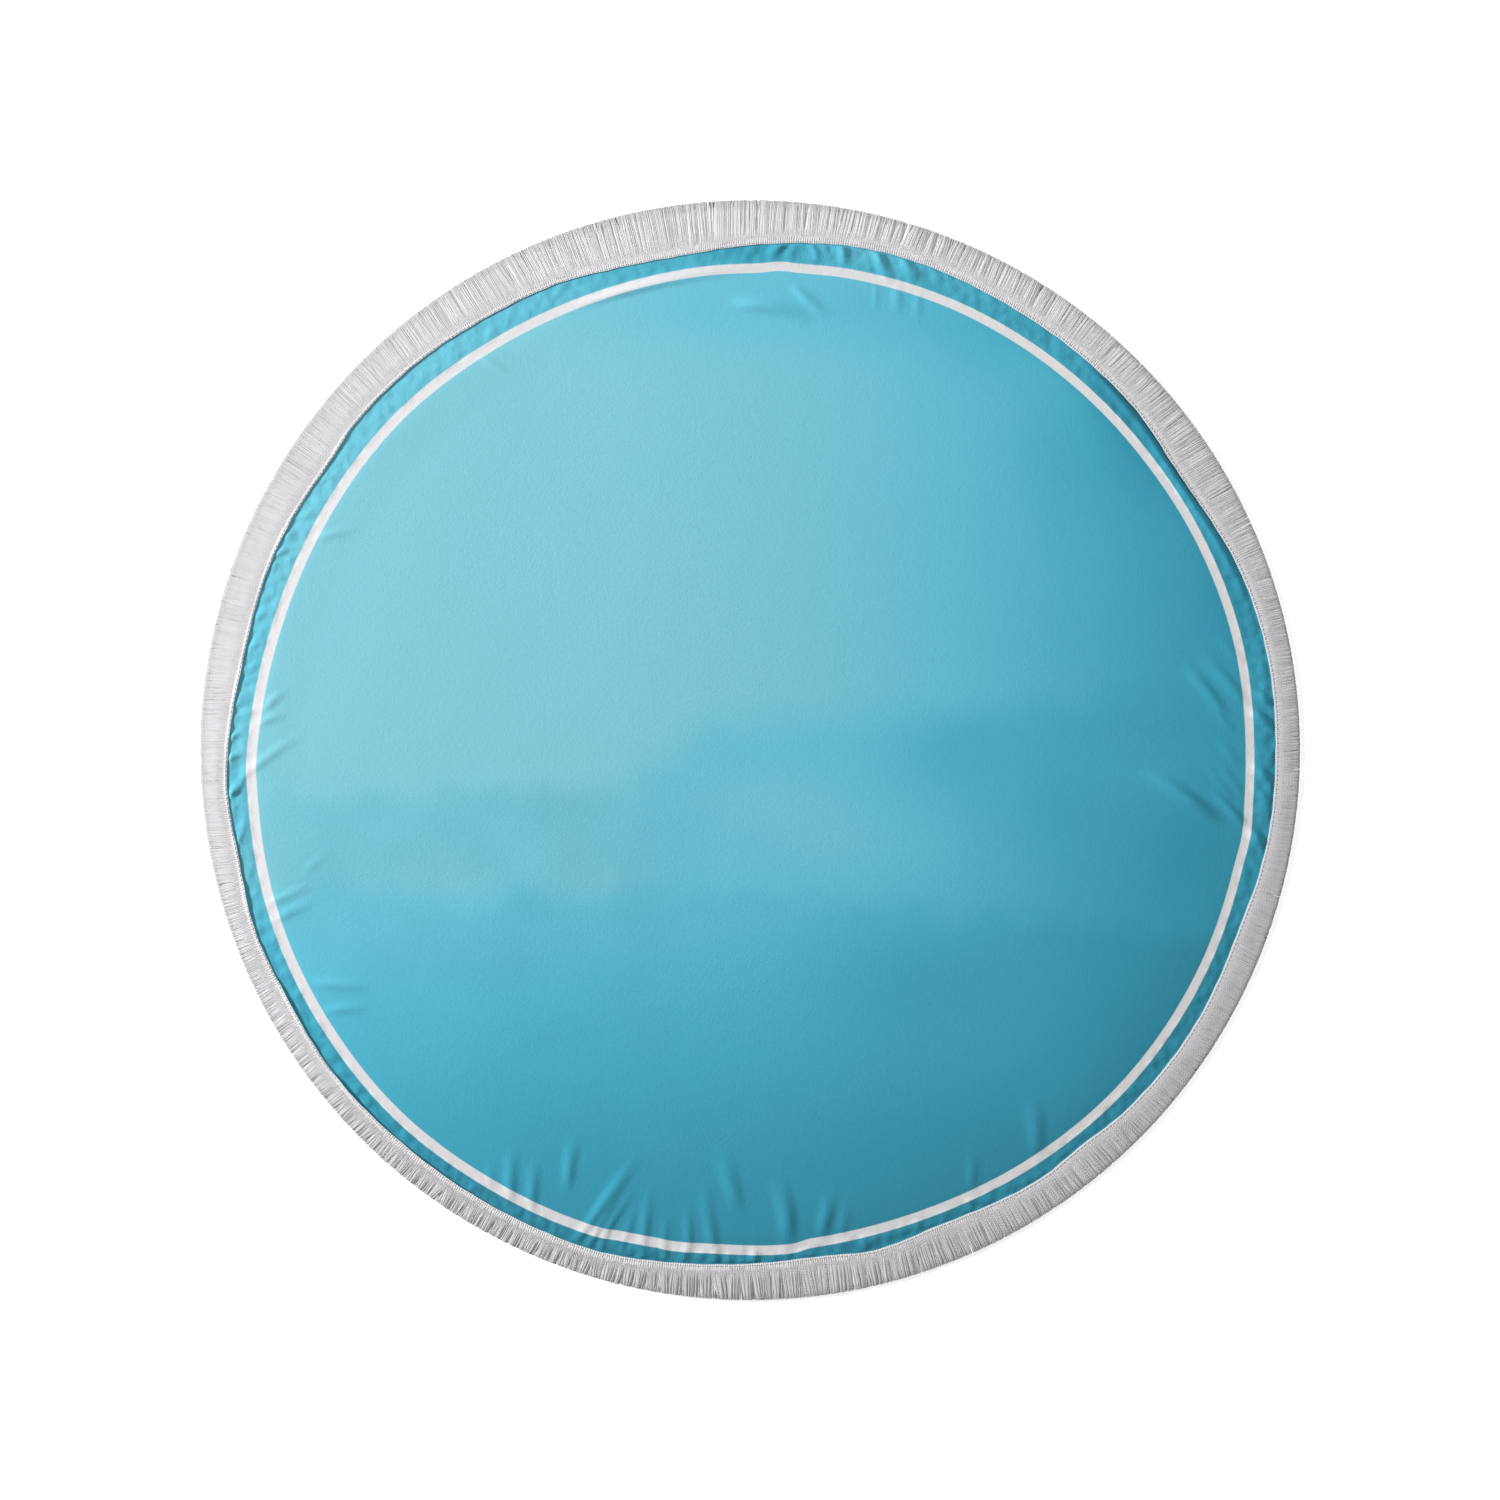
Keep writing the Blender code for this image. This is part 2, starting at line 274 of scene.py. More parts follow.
# The turquoise cloth. Places and sizes of the print are in metres from the towel's centre.
clothFinish = {
    "ringEdge": 0.0012,  # width of the print's soft edge on the pile
    "ringWaver": 0.0003,
    "ringWaverSize": 0.004,
    "ringWhite": (0.90, 0.90, 0.93),
    # painted light: the ring is painted whiter towards the right
    "ringPaintedLightRight": (0.99, 0.99, 1.00),
    "ringLightTurns": (-0.1, 0.5),  # x over which the one white turns into the other
    "bandDeeper": 0.19,  # the dye is deeper between ring and tape
    "bandFades": (0.2, 0.65),  # x over which it is less so
    "driftSize": 0.30,
    "mottleSize": 0.060,
    # depth of the dye at the centre, and its rise to the right, the far right and the bottom
    "rises": (0.10, 0.22, 1.45, 1.4),
    "bottomStart": -0.24,
    "edges": ((0.14, 0.09), (0.13, 0.06)),  # how much deeper below each, and how soft
    "napSize": 0.0011,
    "napDepth": 0.00025,
    "puckerSize": 0.016,  # small puckers between ring and tape
    "puckerDepth": 0.0016,
    "roughness": 0.92,
    "sheen": 0.12,
    # dye from the palest to the deepest
    "dye": (
        (0.00, (0.262, 0.680, 0.800)),
        (0.06, (0.258, 0.714, 0.845)),
        (0.13, (0.222, 0.692, 0.845)),
        (0.27, (0.162, 0.657, 0.845)),
        (0.43, (0.112, 0.592, 0.785)),
        (0.62, (0.078, 0.515, 0.690)),
        (0.80, (0.056, 0.430, 0.605)),
        (1.00, (0.044, 0.345, 0.490)),
    ),
    # soft clouds in the dye: x, y, half width, half height, how much deeper
    "clouds": (
        (0.22, -0.3, 0.14, 0.07, 0.12), (0.2, -0.13, 0.12, 0.045, -0.07), (0.28, 0, 0.08, 0.05, 0.08),
        (0.42, -0.09, 0.08, 0.06, 0.04), (0.46, -0.23, 0.1, 0.045, 0.05),
        (0.42, -0.42, 0.16, 0.14, -0.14), (0.03, -0.07, 0.12, 0.05, -0.06),
        (0.56, -0.28, 0.1, 0.08, -0.06), (0.56, -0.02, 0.1, 0.08, -0.12), (0.42, 0.4, 0.08, 0.08, 0.06),
        (-0.43, -0.18, 0.08, 0.05, -0.05), (-0.2, -0.19, 0.07, 0.04, -0.06),
        (0, 0.685, 0.08, 0.025, 0.45), (-0.18, 0.665, 0.1, 0.025, 0.22), (-0.67, 0.14, 0.03, 0.12, 0.1),
        (-0.68, -0.17, 0.03, 0.08, -0.12), (0.68, -0.2, 0.04, 0.1, -0.15),
        (0.54, 0.44, 0.07, 0.1, 0.22), (0.515, 0.505, 0.05, 0.05, 0.35),
        (0.36, 0.635, 0.09, 0.035, -0.16), (0.2, 0.69, 0.08, 0.03, -0.17),
        (0.64, 0.02, 0.06, 0.09, -0.1), (0.33, 0.56, 0.1, 0.06, 0.1), (0.7, 0, 0.035, 0.2, -0.3),
        (0.12, 0.61, 0.36, 0.06, 0.16), (-0.24, -0.12, 0.08, 0.09, -0.05), (0.1, -0.1, 0.1, 0.07, -0.05),
    ),
    # the deep tint stands for a deeper band and for painted shade in the lower left
    "tintAndShade": (0.03, 0.22, 0.29),  # deep tint, mixed in by the shares below
    "bandWash": 0.14,
    "lowLeftShadeShare": 0.125,
    "shadePatchSize": 0.12,
}


# Depth of the dye over the towel: a slow rise to the right and to the bottom, two soft edges that run
# across like shallow water lines, and a few soft clouds, each an exponential of minus distance squared.
# Painted shade deepens the lower left. The ring is printed where the wavering distance from its middle
# is under half its width, and painted whiter towards the right as light.
def dyedTowelling():
    look = clothFinish
    finish = Finish("dyed_towelling", look["roughness"], look["sheen"])
    (x, y), where = finish.place()
    drift = finish.noise(where, look["driftSize"])
    mottle = finish.noise(where, look["mottleSize"], 3.0)
    toRight = x.above(0)
    toBottom = (look["bottomStart"] - y).above(0)
    # how far up each edge lies, in metres
    firstEdge = 0.09 * finish.step(x, -0.20, 0.0) + 0.03 * toRight + 0.03 * drift + 0.02 * mottle
    secondEdge = -0.165 - 0.1 * toRight + 0.02 * drift + 0.025 * mottle
    centre, right, farRight, bottom = look["rises"]
    depth = centre + right * x + farRight * (toRight * toRight) + bottom * toBottom
    for edge, (deeper, soft) in zip((firstEdge, secondEdge), look["edges"]):
        depth = depth + deeper * finish.step(edge - y, 0, soft)
    for middleX, middleY, halfWidth, halfHeight, deeper in look["clouds"]:
        across = (x - middleX) / halfWidth
        along = (y - middleY) / halfHeight
        depth = depth + deeper * math.e ** (0 - (across * across + along * along))
    halfRing, fromRing = finish.mapPlace("ring")
    onBand = finish.step(fromRing, 0, 0.01)
    band = onBand * (1 - 0.8 * finish.step(x, *look["bandFades"]))
    depth = depth + 0.02 * drift + 0.012 * mottle + look["bandDeeper"] * band
    dye = finish.node("ShaderNodeValToRGB", {"stops": look["dye"]}, {0: depth})

    # painted shade in the lower left, where the light falls off: below the first edge, left of the centre,
    # weaker towards the bottom, in patches
    lowLeftShade = finish.step(firstEdge - 0.015 - y, 0, 0.06) * (1 - finish.step(x, -0.22, 0.04))
    lowLeftShade = lowLeftShade * (1 - 0.5 * finish.step(0 - y, 0.18, 0.36))
    lowLeftShade = lowLeftShade * (0.9 + 1.3 * finish.noise(where, look["shadePatchSize"], 1.0))
    tintAndShade = look["bandWash"] * band + look["lowLeftShadeShare"] * lowLeftShade
    dye = finish.mix(tintAndShade, dye, (*look["tintAndShade"], 1))

    waver = finish.noise(where, look["ringWaverSize"])
    distance = abs(fromRing + look["ringWaver"] * waver)
    ring = ((halfRing - distance) / look["ringEdge"] + 0.5).above(0).below(1)
    # painted light: the ring's white turns whiter towards the right
    ringPaintedLight = finish.step(x, *look["ringLightTurns"])
    white = finish.mix(ringPaintedLight, (*look["ringWhite"], 1), (*look["ringPaintedLightRight"], 1))
    finish.colour(finish.mix(ring, dye, white))

    # relief: a fine nap and a coarser one, and the puckers
    nap = finish.noise(where, look["napSize"], 3.0) + 0.6 * finish.noise(where, 4 * look["napSize"])
    puckers = finish.noise(where, look["puckerSize"], 0.6) * onBand
    finish.bump(nap + (look["puckerDepth"] / look["napDepth"]) * puckers, look["napDepth"])
    return finish.material


# Off-white cotton: the heading tape, whose cross ribs follow its own map in metres
tapeFinish = {
    "cotton": (0.90, 0.88, 0.90),
    # darker where the ribs dip, as painted shade in the grooves, and where the fibre is darker
    "grooveShadeAndFibre": (0.76, 0.745, 0.77),
    # painted highlight: the tape's inner edge is whiter
    "paintedEdgeHighlight": (0.97, 0.96, 0.97),
    "highlightEnds": (0.0040, 0.0065),  # way over the tape on which its whiter inner edge ends
    "highlightFades": (-0.35, 0.15),  # x over which that edge gets weaker
    "ribPitch": 0.0031,
    "rowPitch": 0.0060,
    "ribDepth": 0.00025,
    "roughness": 0.95,
    "sheen": 0.1,
}


# Ribs are a sine along the tape, whose phase moves a little with rows across it and with slow noise.
# The colour is darker where the ribs dip, which is painted shade in their grooves, and where the fibre
# noise is low. The inner edge is painted whiter as a highlight, most of all at the left.
def wovenTape():
    look = tapeFinish
    finish = Finish("woven_cotton_tape", look["roughness"], look["sheen"])
    (x, _), where = finish.place()
    along, across = finish.mapPlace("weave")
    rows = (across * (math.tau / look["rowPitch"])).sine()
    drift = finish.noise(where, 0.02)
    ribs = (along * (math.tau / look["ribPitch"]) + 0.4 * rows + 4 * drift).sine()
    fibre = finish.noise(where, 0.0012, 3.0)
    shade = (0.5 + 0.32 * ribs + 0.25 * fibre).above(0).below(1)
    woven = finish.mix(shade, (*look["grooveShadeAndFibre"], 1), (*look["cotton"], 1))
    # the inner edge is painted whiter as a highlight, most of all at the left
    edgeHighlight = 1 - finish.step(across, *look["highlightEnds"])
    edgeHighlight = edgeHighlight * (1 - 0.6 * finish.step(x, *look["highlightFades"]))
    finish.colour(finish.mix(0.9 * edgeHighlight, woven, (*look["paintedEdgeHighlight"], 1)))
    finish.bump(ribs + 0.15 * rows + 0.3 * fibre, look["ribDepth"])
    return finish.material


# Off-white cotton: the cut threads, each with its own tone
threadFinish = {
    "pale": (0.93, 0.915, 0.93),
    "dull": (0.66, 0.65, 0.67),
    "plyPitch": 0.0038,
    "plyDepth": 0.00008,
    "patchSize": 0.018,
    # the root is painted paler, as a highlight
    "rootHighlightFade": (0.03, 0.12),  # shares of the length over which the paler root ends
    # the tip is painted duller, as shade
    "tipShadeFade": (0.70, 1),  # and over which the duller tip sets in
    "roughness": 0.95,
    "sheen": 0.1,
}


# Plies are a sine whose phase runs along the thread and once round it, and darken the tone a little in
# their grooves as painted shade; the tone is the thread's draw with slow patches along it, a root painted
# paler as a highlight and a tip painted duller as shade.
def looseThread():
    look = threadFinish
    finish = Finish("loose_cotton_thread", look["roughness"], look["sheen"])
    _, where = finish.place()
    roundShare, along = finish.mapPlace("ply")
    tone, share = finish.mapPlace("tone")
    plies = (along * (math.tau / look["plyPitch"]) + roundShare * math.tau).sine()
    patches = finish.noise(where, look["patchSize"])
    # painted shade: the tip is duller
    tipShade = finish.step(share, *look["tipShadeFade"])
    # painted highlight: the root is paler
    rootHighlight = 1 - finish.step(share, *look["rootHighlightFade"])
    # paleness: the plies darken it a little in their grooves, as painted shade
    paleness = (tone + 0.04 * plies + 0.14 * patches + 0.3 * rootHighlight - 0.6 * tipShade).above(0).below(1)
    finish.colour(finish.mix(paleness, (*look["dull"], 1), (*look["pale"], 1)))
    finish.bump(plies, look["plyDepth"])
    return finish.material


# The panel's own sizes, in metres
cloth = {
    "thickness": 0.002,
    "hemReach": 0.002,  # the step up to the hem starts this far inside the tape's edge
    "hemStep": 0.005,
    "underTape": 0.011,  # how far the panel runs under the tape
    "fade": 0.0042,  # run over which creases die away at the tape's edge
    "crest": 0.34,  # share of its length at which a crease is highest
    "crestLead": 0.06,  # by so much its rise begins before its line
    "rippleInset": 0.010,  # where the ripples are highest, in from the tape's edge
    "rippleReach": 0.022,
    "leanInset": 0.015,
    "swell": 0.0012,  # the drawn-in rim puffs the cloth up a little all round
    "swellInset": 0.034,  # where it is highest, in from the tape's edge
    "swellReach": 0.075,  # and how much further in it runs out
    "printStiffens": 0.4,  # share by which the lift is lower at the printed ring
    "printReach": 0.014,
    "columns": 1260,
    "flatRadii": (0.12, 0.27, 0.41),
    "cutWidth": 1.450,  # across the flat cut, hem allowance included
    "undersideShare": 0.6,  # of the lift that the underside follows
}

# The creases, listed one by one. Each runs through its path's points, given as degrees round and
# millimetres from the centre, most of them inwards. Half width and height are in millimetres too.
Crease = namedtuple("Crease", "path halfWidth height")
creases = [Crease(*row) for row in (
    # right: the long pair with a valley between them, from the ring inwards
    (((350.9, 692), (352.3, 668), (353.2, 655), (354.2, 642), (355.4, 626)), 9, 4.4),
    (((351.5, 645), (352.5, 624), (353.6, 602), (354.8, 579), (355.9, 556), (357, 526)), 15, 8),
    (((354.8, 676), (356.8, 652), (358.8, 636)), 9, 1.7),
    (((354, 662), (356.2, 640), (358.6, 620)), 9, 1.2),
    (((358, 668), (360.2, 648), (361.4, 634)), 10, 1.6),
    (((5.2, 682), (7.6, 662), (9.8, 645), (12.2, 626)), 12, 3.6),
    (((4.4, 652), (6.6, 634), (8.8, 618), (11.4, 600)), 12, 4),
    (((2.2, 660), (4.4, 640), (6, 622)), 9, 1.8),
    (((9, 690), (12.4, 664), (14.4, 650)), 10, 1.6),
    # right, between ring and tape
    (((2.6, 711), (3.1, 704), (3.8, 694), (4.9, 678)), 10, 5.6),
    (((4.8, 717), (5.5, 706), (6.3, 696), (7.2, 684)), 8, 3.8),
    (((356.1, 717), (356.8, 706), (357.6, 695), (358.7, 678)), 10, 6.2),
    (((354.1, 722), (354.8, 706), (355.4, 697), (356.4, 684)), 7, 4.6),
    (((349.3, 715), (349.8, 706), (350.3, 697), (351.2, 682)), 10, 6),
    (((352.4, 724), (353.1, 706), (353.8, 690)), 9, 3),
    (((358.4, 718), (359.6, 704), (360.8, 692)), 11, 2),
    (((7.8, 718), (8.8, 704), (9.8, 690)), 9, 1.8),
    # upper right, a roll beside the tape
    (((49.5, 695), (45, 694), (40, 692), (35, 688), (32.5, 687), (29, 690)), 8, 6),
    (((38, 690), (35, 688), (32.5, 687), (28, 691), (24, 697), (19, 703), (13, 708)), 8, 6.4),
    # top, between ring and tape
    (((85.4, 706), (86.6, 690), (87.4, 680), (88.3, 662)), 11, 6),
    (((84.2, 704), (85, 686), (85.8, 664)), 9, 2),
    (((83.7, 708), (83.1, 694), (82.5, 682), (81.8, 668)), 7, 3.8),
    (((81.9, 706), (81.3, 688), (80.9, 670)), 5, 2),
    (((80, 710), (79.6, 696), (79.3, 684), (78.6, 668)), 10, 5.4),
    (((76.4, 712), (75.7, 698), (75, 687), (73.9, 677), (73, 662)), 11, 6),
    (((73.2, 712), (72.2, 697), (71.2, 686), (69.8, 672)), 14, 4.8),
    (((90.8, 698), (89.7, 684), (89.2, 672)), 8, 1.6),
    # top, inside the ring and along it
    (((92.4, 610), (89, 607), (86.4, 604), (84, 599), (81.6, 589)), 15, 5.8),
    (((84.9, 636), (83.2, 622), (81.2, 610), (79.2, 602)), 11, 2.9),
    (((72.5, 668), (71.8, 642), (71.3, 622)), 12, 1.6),
    (((74.9, 662), (74.3, 630), (74, 616)), 6, 0.9),
    (((69.9, 668), (69.1, 640), (68.6, 622)), 9, 1.2),
    (((113, 650), (108, 649), (103, 649), (98, 651), (93, 654), (88, 659)), 10, 6.4),
    # left, from the tape inwards
    (((185.1, 724), (184.2, 706), (183.2, 694), (182.2, 680), (181, 660), (180.1, 646),
      (179, 628), (177.4, 600)), 10, 2),
    (((185.4, 720), (184.5, 705), (183, 686)), 9, 4),
    (((181.2, 720), (180.7, 704), (180.2, 688)), 7, 4),
    (((179, 718), (178.4, 702), (177.8, 686)), 7, 3.6),
    (((190.6, 714), (189.2, 702), (187.6, 694)), 7, 2),
    (((175.4, 712), (174.1, 688)), 7, 1.4),
    (((171.5, 710), (170.2, 688)), 7, 1.2),
    (((157.9, 704), (156.4, 684)), 6, 2),
    (((155.8, 704), (154.3, 684)), 6, 1.8),
    (((177.2, 676), (176.2, 654), (175.5, 630)), 9, 1.8),
    (((175.4, 666), (173.8, 652), (172.6, 636)), 9, 1.8),
    (((154.2, 662), (150.6, 612)), 9, 1.6),
    (((124.6, 652), (122.4, 606)), 9, 1),
    (((197.8, 700), (197.5, 670), (197.1, 620)), 9, 1.7),
    (((199.8, 700), (199.4, 664), (199.2, 622)), 10, 1.7),
    (((211.3, 680), (212.6, 655), (214.3, 626)), 10, 2.4),
    (((207.6, 680), (209.6, 648), (212.3, 608)), 11, 2.8),
    (((195.4, 632), (193.6, 590)), 10, 0.8),
    # bottom left, from the tape inwards
    (((239.6, 704), (238.6, 680), (237.8, 658)), 10, 1.2),
    (((242.6, 712), (241.6, 688), (240.7, 668), (239.9, 650), (238.9, 624)), 13, 3),
    (((245, 706), (244.2, 684), (243.5, 664), (242.8, 646), (242.2, 626)), 12, 2.6),
    (((247.5, 650), (246.5, 618), (245.9, 595), (245.1, 574)), 13, 2.6),
    (((250.4, 716), (251.1, 690), (251.7, 665), (252.3, 643), (253, 620), (253.7, 600),
      (254.8, 568)), 12, 4),
    (((251.9, 724), (252.2, 698), (252.6, 674), (253.1, 650), (253.8, 626), (254.5, 606)), 10, 2.8),
    (((252.9, 732), (253.3, 706), (253.4, 682), (253.9, 660), (254.5, 640), (255.4, 612)), 8, 2.8),
    (((255.5, 722), (255.6, 696), (255.8, 660), (255.9, 640)), 7, 1.8),
    (((257.9, 726), (257.9, 702), (257.7, 680), (257.4, 650), (257.1, 606)), 11, 2.6),
    (((260.4, 722), (260.4, 698), (260, 676), (259.9, 640)), 9, 2.2),
    (((262.2, 722), (262.5, 698), (262.9, 678), (262.6, 655), (262.1, 618)), 10, 2.6),
    # bottom right, from the tape inwards
    (((265.6, 716), (265.7, 696), (265.7, 676), (265.2, 650), (264.6, 626), (263.8, 584)), 14, 2.6),
    (((268.6, 632), (267.8, 602), (266.9, 576), (265.8, 536)), 18, 2.6),
    (((269, 712), (269.1, 694), (269.2, 674)), 7, 2.6),
    (((270.4, 712), (270.6, 694), (270.6, 674)), 7, 2.8),
    (((267.7, 708), (267.6, 694), (267.5, 680)), 6, 1.6),
    (((274.4, 676), (274.5, 658), (274.5, 636), (274.1, 610), (273.4, 578)), 18, 4),
    (((278.2, 673), (278.8, 656), (279.5, 636), (280.4, 608)), 14, 3.2),
    (((280.6, 676), (281.3, 654), (282.2, 630)), 10, 1.4),
    (((296.6, 674), (299.2, 620)), 11, 1.6),
    (((305.1, 684), (306.6, 655), (308.5, 622), (309.6, 602)), 17, 2.7),
    # bottom, between ring and tape
    (((248.7, 716), (248.8, 698), (248.9, 684)), 8, 1.4),
    (((246.7, 716), (246.8, 698)), 7, 1.4),
    (((237.6, 714), (237.5, 698)), 6, 1.2),
    (((272.6, 704), (272.7, 692), (272.7, 680)), 7, 1.6),
    (((274.2, 702), (274.1, 690)), 6, 1.4),
    (((276.9, 702), (276.8, 690), (276.6, 678)), 8, 1.6),
    (((283.4, 702), (282.8, 682)), 14, 1.6),
)]

# How strongly the rim is gathered between ring and tape: degrees round, millimetres of ripple
gathers = (
    (0, 1.4), (12, 1.1), (30, 0.5), (55, 0.6), (66, 0.8), (80, 1.1), (90, 0.9), (110, 0.5), (140, 0.5),
    (156, 1), (176, 1.1), (190, 1), (205, 0.8), (225, 0.8), (240, 1.3), (258, 1.8), (276, 1.6),
    (300, 1.2), (330, 0.7), (350, 1.4),
)

# How far the ripples lean on their way inwards, in metres sideways to a metre: degrees round, lean
gatherLeans = (
    (0, 0.8), (15, 0.8), (30, 0.2), (60, -0.4), (84, -0.4), (89, 0.5), (110, -0.3), (150, -0.9),
    (175, -0.7), (195, 0.2), (225, 0), (240, -0.3), (255, 0.2), (275, 0.1), (300, 0.4), (345, 0.8),
)


# Rise of one crease: its height times a bell of the distance from its line and a fuller bell along
# the line. It widens along the line. The plane is angle times mean radius, and radius.
def creaseRise(crease, degrees, radius):
    path = np.array(crease.path, float)
    middle = path[:, 1].mean() * mm
    line = np.stack([np.radians(path[:, 0] - path[0, 0]) * middle, path[:, 1] * mm], axis=-1)
    turned = np.mod(degrees - path[0, 0] + 180, 360) - 180
    place = np.stack([np.radians(turned) * middle, radius], axis=-1)[..., None, :]
    start = line[:-1]
    run = line[1:] - start
    length = np.hypot(run[:, 0], run[:, 1])
    before = np.concatenate([[0], np.cumsum(length)[:-1]])
    along = np.clip(((place - start) * run).sum(-1) / length**2, 0, 1)
    away = np.linalg.norm(place - start - along[..., None] * run, axis=-1)
    nearest = away.argmin(-1)[..., None]
    away = np.take_along_axis(away, nearest, -1)[..., 0]
    share = np.take_along_axis((before + along * length) / length.sum(), nearest, -1)[..., 0]
    crest = cloth["crest"]
    ends = bell((share - crest) / np.where(share < crest, crest + cloth["crestLead"], 1 - crest)) ** 0.8
    spread = crease.halfWidth * mm * (0.8 + 0.4 * share)
    return crease.height * mm * ends * bell(away / spread)


# How far the cloth stands off the surface: the sum of all creases, ripples of uneven pitch near the
# tape and the swell, lower at the printed ring and gone at the tape's edge
def clothLift(degrees, radius):
    inside = tapeEdge(degrees) - radius
    lift = np.zeros_like(radius)
    for crease in creases:
        path = np.array(crease.path, float)
        turned = np.abs(np.mod(degrees - path[:, 0].mean() + 180, 360) - 180)
        reach = crease.halfWidth * 1.3
        near = (
            (turned < np.ptp(path[:, 0]) / 2 + math.degrees(reach / path[:, 1].min()))
            & (radius > (path[:, 1].min() - reach) * mm)
            & (radius < (path[:, 1].max() + reach) * mm)
        )
        lift[near] += creaseRise(crease, degrees[near], radius[near])
    leaning = closedCurve(gatherLeans, degrees) * (inside - cloth["leanInset"])
    turn = np.radians(degrees) - leaning / towel["radius"]
    fine = np.sin(233 * turn + 1.5 * np.sin(23 * turn))
    coarse = np.sin(149 * turn + 2 * np.sin(31 * turn + 1))
    lumps = np.sin(97 * turn + 3 * np.sin(11 * turn) + 130 * inside)
    lumps = lumps * np.sin(53 * turn - 2 * np.sin(17 * turn) - 190 * inside + 1)
    waves = 0.5 + 0.25 * fine + 0.25 * coarse + 0.6 * lumps
    nearTape = bell((inside - cloth["rippleInset"]) / cloth["rippleReach"])
    ripple = closedCurve(gathers, degrees) * mm * waves * nearTape
    fromTop = inside - cloth["swellInset"]
    swell = cloth["swell"] * bell(fromTop / np.where(fromTop < 0, cloth["swellInset"], cloth["swellReach"]))
    lift = np.maximum(lift + ripple + swell, 0)
    atRing = bell((radius - ringMiddle(degrees)) / cloth["printReach"])
    lift = lift * (1 - cloth["printStiffens"] * atRing)
    return lift * (1 - bell(inside / cloth["fade"])) * (inside > 0)


# The sheet's thickness: single cloth, more where the edge is turned into the hem
def clothThickness(degrees, radius):
    inside = tapeEdge(degrees) - radius
    hem = smoothStep(cloth["hemReach"], cloth["hemReach"] - cloth["hemStep"], inside)
    return cloth["thickness"] + (towel["hemThickness"] - cloth["thickness"]) * hem


# The panel is one closed grid, angle by row: rows run from the centre out over the top, round the rim
# under the tape and back along the underside, and a vertex at each centre closes it.
def towelCloth():
    columns = cloth["columns"]
    degrees = np.arange(columns) * 360 / columns
    edge = tapeEdge(degrees)
    # how far in from the tape's edge the top's rows lie, closer together near it
    insets = np.concatenate([
        np.linspace(0.190, 0.1230, 9),
        np.linspace(0.116, 0.0116, 30),
        [0.008, 0.006, 0.004, 0.0022, 0.0006, -0.001, -0.003, -0.0085],
    ])
    flatRows = np.repeat(np.array(cloth["flatRadii"])[:, None], columns, axis=1)
    topRows = np.concatenate([flatRows, edge - insets[:, None]])
    grid = np.broadcast_to(degrees, topRows.shape)
    lift = clothLift(grid, topRows)
    topHeights = lift + clothThickness(grid, topRows)

    # the rim: half a round between top and underside
    arc = np.radians([60, 25, -25, -60])
    half = towel["hemThickness"] / 2
    rimRows = edge + cloth["underTape"] - half * (1 - np.cos(arc))[:, None]
    rimHeights = np.repeat((half + half * np.sin(arc))[:, None], columns, axis=1)

    # the underside goes back along every other row of the top
    kept = np.arange(len(topRows) - 1, -1, -2)
    underRows = topRows[kept]
    underHeights = lift[kept] * cloth["undersideShare"]

    radii = np.concatenate([topRows, rimRows, underRows])
    heights = np.concatenate([topHeights, rimHeights, underHeights])
    rows = len(radii)
    points = polar(radii, degrees, heights).reshape(-1, 3)
    poles = np.array([[0, 0, cloth["thickness"]], [0, 0, 0]])
    points = np.concatenate([points, poles])
    topPole, underPole = len(points) - 2, len(points) - 1

    row, column = gridCorners(rows - 1, columns)
    quads = row * columns + column % columns
    here = np.arange(columns)
    after = (here + 1) % columns
    last = (rows - 1) * columns
    topFan = np.stack([np.full(columns, topPole), here, after], axis=-1)
    underFan = np.stack([last + here, np.full(columns, underPole), last + after], axis=-1)

    # the ring's map: half its width, and metres outwards from its middle
    halfRing = closedCurve(ringWidths, degrees) * mm / 2
    fromRing = radii - ringMiddle(degrees)
    quadMap = np.stack([halfRing[column % columns], fromRing[row, column % columns]], axis=-1)
    fanMap = np.zeros((2 * columns, 3, 2))
    fanMap[..., 1] = -ringMiddle(0)
    ringMap = np.concatenate([quadMap.reshape(-1, 2), fanMap.reshape(-1, 2)])
    return makePiece(
        "towel_cloth", points, [quads, np.concatenate([topFan, underFan])], {"ring": ringMap},
        dyedTowelling(), "towel_panel",
    )


# The heading tape: sizes in metres
tape = {
    "columns": 2880,
    "ribRise": 0.00012,  # every other column stands this much proud
    "edgeWaver": 0.0004,
    "meanInset": 0.04,  # of the tape's mean line, for metres along its map
}

# How far the tape's inner edge stands off the hem: degrees round, millimetres
tapeLifts = (
    (0, 0.1), (14, 0.1), (24, 0.3), (36, 0.6), (46, 0.4), (56, 0.2), (70, 0), (100, 0), (130, 0.4),
    (145, 0.8), (160, 1), (180, 1.1), (200, 1.3), (215, 1.6), (228, 1.6), (240, 0.7), (255, 0.2),
    (270, 0), (320, 0),
)


# Lift of the tape at a distance out from its inner edge: a lip that curls up as the cube of the share
# left to the outer edge, uneven along the tape
def tapeLift(degrees, out):
    turn = np.radians(degrees)
    uneven = 1 + 0.65 * np.sin(23 * turn + 2 * np.sin(5 * turn)) + 0.35 * np.sin(61 * turn)
    share = np.clip(1 - out / towel["tapeWidth"], 0, 1)
    return closedCurve(tapeLifts, degrees) * mm * uneven * share**3


